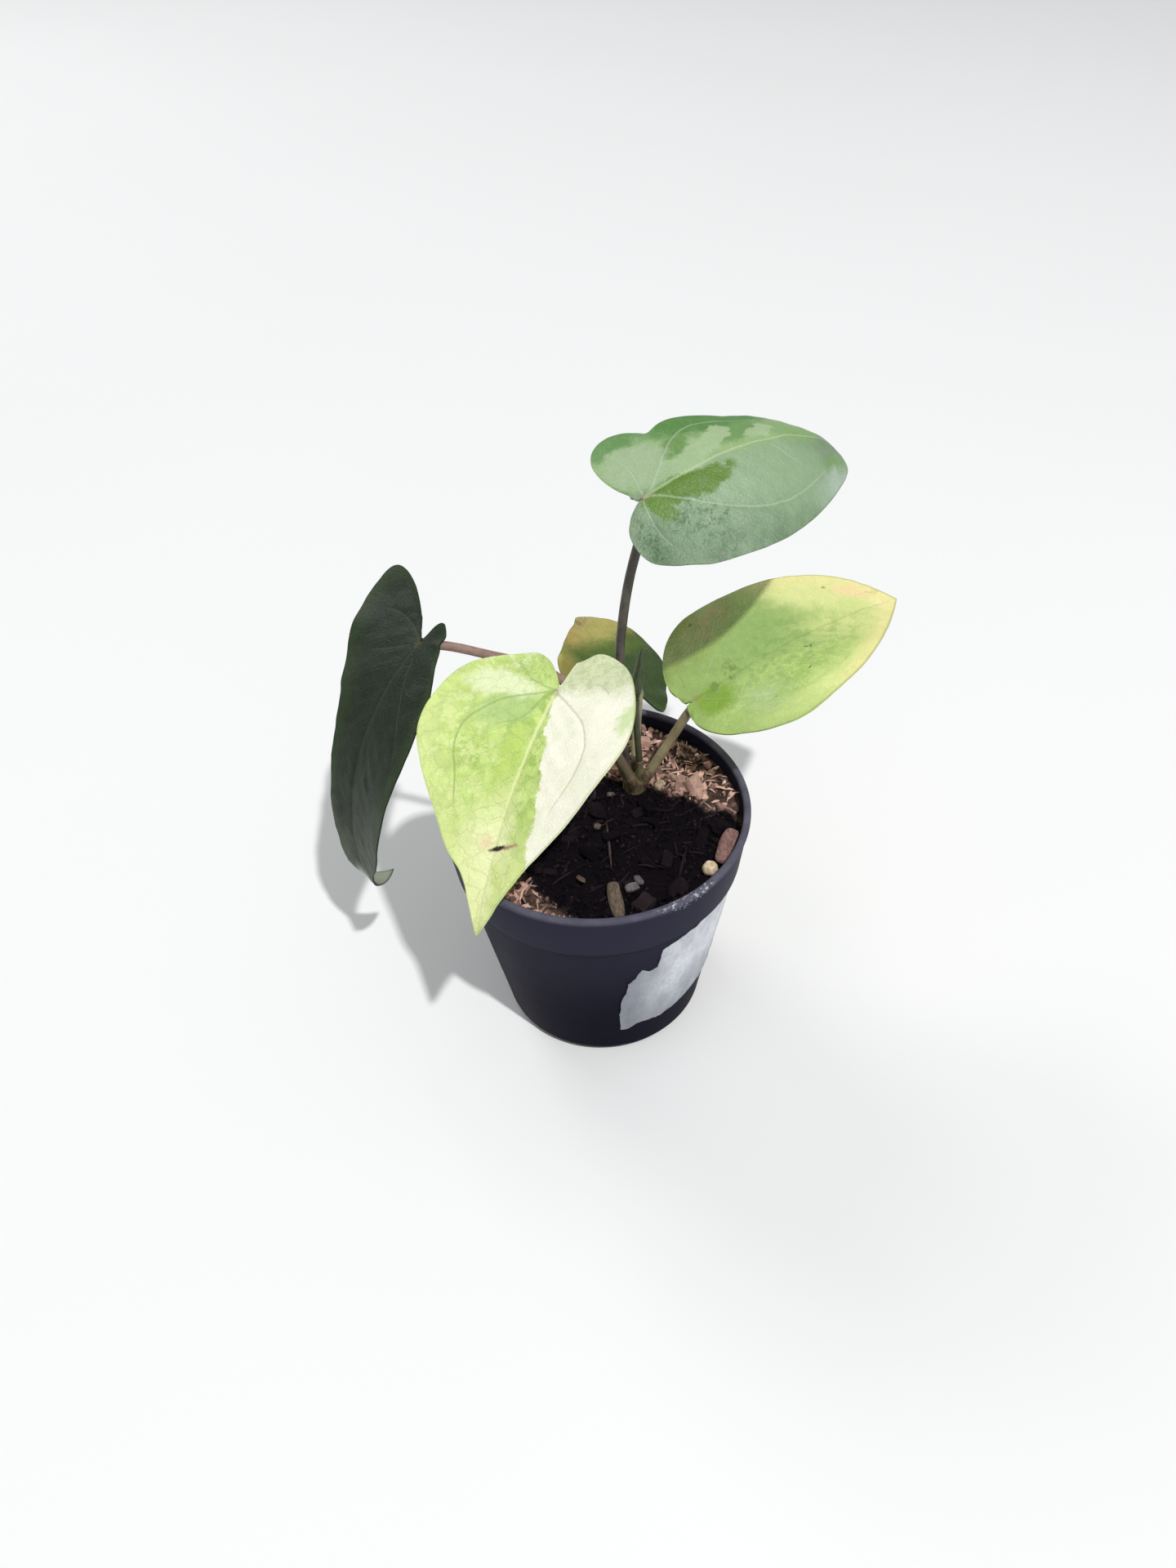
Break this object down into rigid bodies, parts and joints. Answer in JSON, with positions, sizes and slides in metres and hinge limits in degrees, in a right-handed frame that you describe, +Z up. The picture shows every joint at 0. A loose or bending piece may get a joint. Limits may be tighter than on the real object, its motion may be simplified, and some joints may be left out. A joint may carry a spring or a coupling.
{
  "type": "potted anthurium",
  "caption": "Young variegated anthurium with heart-shaped leaves on long stalks, growing in bark mix in a round plastic nursery pot with a blank torn label.",
  "frame": {"origin": "centre of the pot's underside, on the surface it stands on", "axes": "+Z up, along the pot's axis; -Y towards the side of the large heart-shaped leaf in front; +X to the right seen from that side"},
  "size_m": [0.1738, 0.136, 0.1749],
  "materials": {
    "pot_plastic": "matte, scuffed at the lip",
    "label_paper": "dull wrinkled sticker, torn and bare",
    "soil_bark": "coarse bark chips and fibre",
    "crown_skin": "dull",
    "leaf_silver": "silvery green with darker green patches, satin",
    "leaf_lime": "lime green with a yellow margin, satin",
    "leaf_cream": "one half lime green, one half cream, satin",
    "leaf_dark": "dark green with faint paler patches, satin",
    "leaf_yellowing": "green turning yellow with a dry tip",
    "leaf_rolled": "dark green with a pale edge, satin",
    "stalk_purple": "dark purple-brown, satin",
    "stalk_olive": "olive, satin",
    "stalk_pink": "pinkish brown, speckled, satin"
  },
  "bodies": {
    "root": {"pot": "pot_plastic", "label": "label_paper", "soil": "soil_bark", "crown": "crown_skin", "blade_top": "leaf_silver", "blade_right": "leaf_lime", "blade_front": "leaf_cream", "blade_left": "leaf_dark", "blade_back": "leaf_yellowing", "blade_new": "leaf_rolled", "petiole_top": "stalk_purple", "petiole_right": "stalk_olive", "petiole_front": "stalk_pink", "petiole_left": "stalk_pink", "petiole_back": "stalk_olive", "petiole_new": "stalk_olive"}
  },
  "joints": []
}
